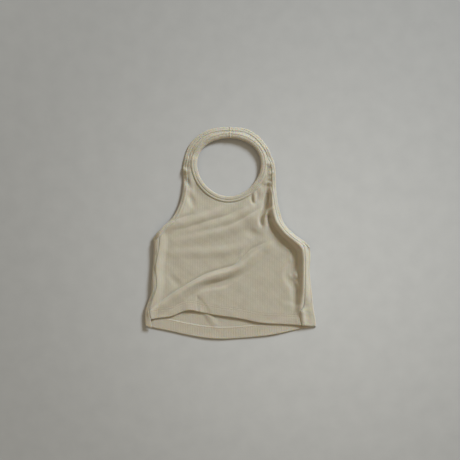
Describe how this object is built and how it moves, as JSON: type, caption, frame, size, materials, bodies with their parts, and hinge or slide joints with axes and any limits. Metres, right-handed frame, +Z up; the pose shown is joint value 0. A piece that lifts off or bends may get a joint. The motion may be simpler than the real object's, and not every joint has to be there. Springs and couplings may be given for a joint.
{
  "type": "halter neck top",
  "caption": "Small child's cropped halter neck top in fine ivory rib knit, with bound neck and armholes, laid out flat face up.",
  "frame": {"origin": "on the surface it lies on, under the middle of the garment's outline", "axes": "+Z up from the surface, +Y from the hem to the neck, +X to the right as seen from above"},
  "size_m": [0.2564, 0.318, 0.0147],
  "materials": {
    "rib_knit": "matte",
    "rib_binding": "matte"
  },
  "bodies": {
    "root": {"front": "rib_knit", "back": "rib_knit", "neckband": "rib_binding", "armhole_binding_left": "rib_binding", "armhole_binding_right": "rib_binding"}
  },
  "joints": []
}
